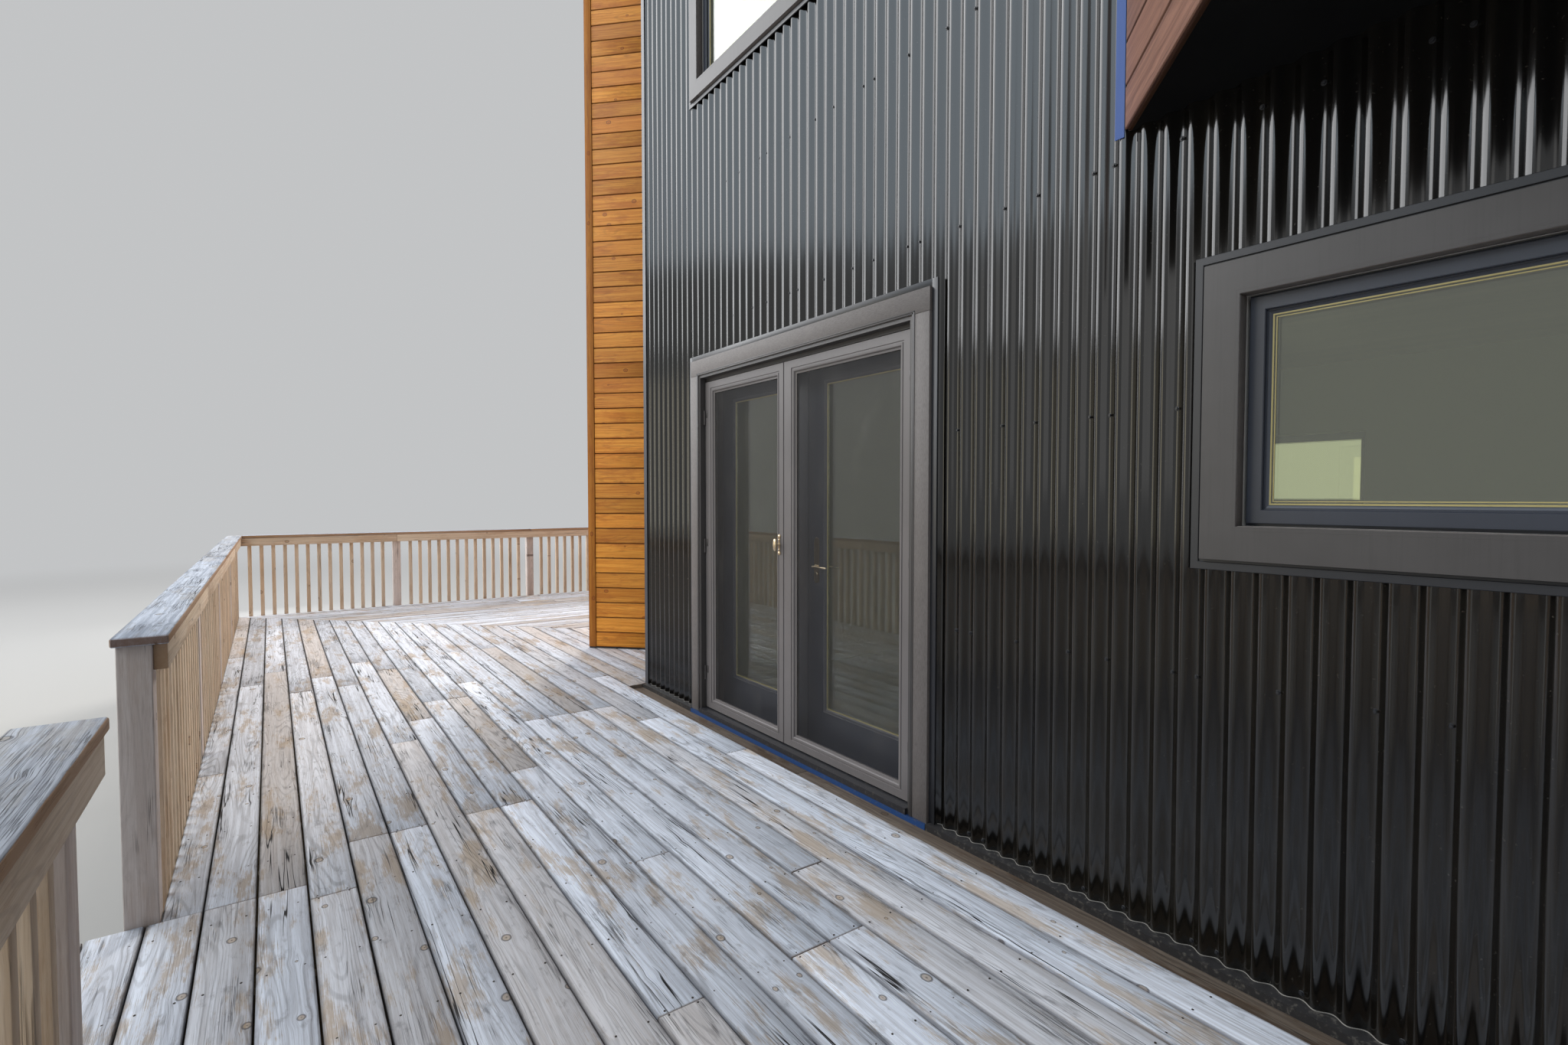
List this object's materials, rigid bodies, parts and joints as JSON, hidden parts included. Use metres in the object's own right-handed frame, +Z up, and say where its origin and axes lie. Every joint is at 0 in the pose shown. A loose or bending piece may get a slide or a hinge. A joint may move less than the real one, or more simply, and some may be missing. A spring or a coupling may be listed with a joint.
{
  "type": "two-storey corrugated steel cabin with timber deck",
  "caption": "Two-storey cabin clad in black corrugated steel, with a diagonal cedar tower, a corner bay, screened and glazed double doors, and a railed timber deck with steps.",
  "frame": {"origin": "centre of the ribbed cabin's footprint, on the ground, at the foundation's underside", "axes": "+X to the right along the front, seen from outside; +Y from the front to the back; +Z up"},
  "size_m": [13, 9.342, 6.94],
  "materials": {
    "concrete": "rough cast concrete",
    "floor": "plain timber floor",
    "roofing": "flat roofing membrane",
    "plaster": "plain painted board",
    "cladding": "semi-gloss black ribbed steel",
    "metal_trim": "semi-gloss black folded steel",
    "soffit": "matt black painted board",
    "casing": "dark brown-grey painted board with brushed grain",
    "sash": "satin blue-black clad sash",
    "screen_frame": "satin dark brown frame",
    "mesh": "fine dark insect mesh",
    "glass": "clear sealed glass with a green-grey tint",
    "hardware": "satin nickel",
    "cedar": "warm oiled cedar boards",
    "bay_cedar": "browner weathered cedar boards",
    "decking": "weathered silver-grey boards with brown stains",
    "framing": "weathered treated timber",
    "railing": "weathered beige-grey timber"
  },
  "bodies": {
    "cabin": {"foundation": "concrete", "ground_floor": "floor", "upper_floor": "floor", "roof": "roofing", "coping": "metal_trim", "front_wall_left": "plaster", "front_wall_over_door": "plaster", "front_wall_right": "plaster", "left_wall": "plaster", "right_wall": "plaster", "back_wall": "plaster", "tower_wall_right": "plaster", "tower_wall_front": "plaster", "tower_wall_back": "plaster", "bay_wall_left": "plaster", "bay_wall_right": "plaster", "bay_floor": "soffit", "bay_roof": "metal_trim", "front_cladding": "cladding", "left_cladding": "cladding", "right_cladding": "cladding", "back_cladding": "cladding", "tower_siding": "cedar", "bay_siding": "bay_cedar", "corner_trims": "metal_trim", "base_flashing": "metal_trim", "opening_flashings": "metal_trim", "window_casings": "casing", "window_sashes": "sash", "window_glass": "glass", "door_casing": "casing", "door_frame": "casing", "door_threshold": "sash", "door_hinges": "hardware", "deck_boards_front": "decking", "deck_boards_side": "decking", "deck_rim": "framing", "deck_joists": "framing", "deck_posts": "framing", "stair_stringers": "framing", "stair_treads": "decking", "railing_front_left": "railing", "railing_left": "railing", "railing_back": "railing", "railing_front_right": "railing", "railing_right": "railing"},
    "screen_left": {"screen_door_left": "screen_frame", "screen_mesh_left": "mesh", "screen_latch": "hardware"},
    "screen_right": {"screen_door_right": "screen_frame", "screen_mesh_right": "mesh"},
    "glazed_left": {"glazed_door_left": "sash", "glazed_glass_left": "glass"},
    "glazed_right": {"glazed_door_right": "sash", "glazed_glass_right": "glass", "door_lever": "hardware"}
  },
  "joints": [
    {"name": "screen_left_hinge", "type": "hinge", "parent": "cabin", "child": "screen_left", "pos_m": [-2.76, -2.787, 1.6775], "axis": [0, 0, -1], "range_deg": [0, 90]},
    {"name": "screen_right_hinge", "type": "hinge", "parent": "cabin", "child": "screen_right", "pos_m": [-0.91, -2.787, 1.6775], "axis": [0, 0, 1], "range_deg": [0, 90]},
    {"name": "glazed_left_hinge", "type": "hinge", "parent": "cabin", "child": "glazed_left", "pos_m": [-2.76, -2.601, 1.6775], "axis": [0, 0, 1], "range_deg": [0, 90]},
    {"name": "glazed_right_hinge", "type": "hinge", "parent": "cabin", "child": "glazed_right", "pos_m": [-0.91, -2.601, 1.6775], "axis": [0, 0, -1], "range_deg": [0, 90]}
  ]
}
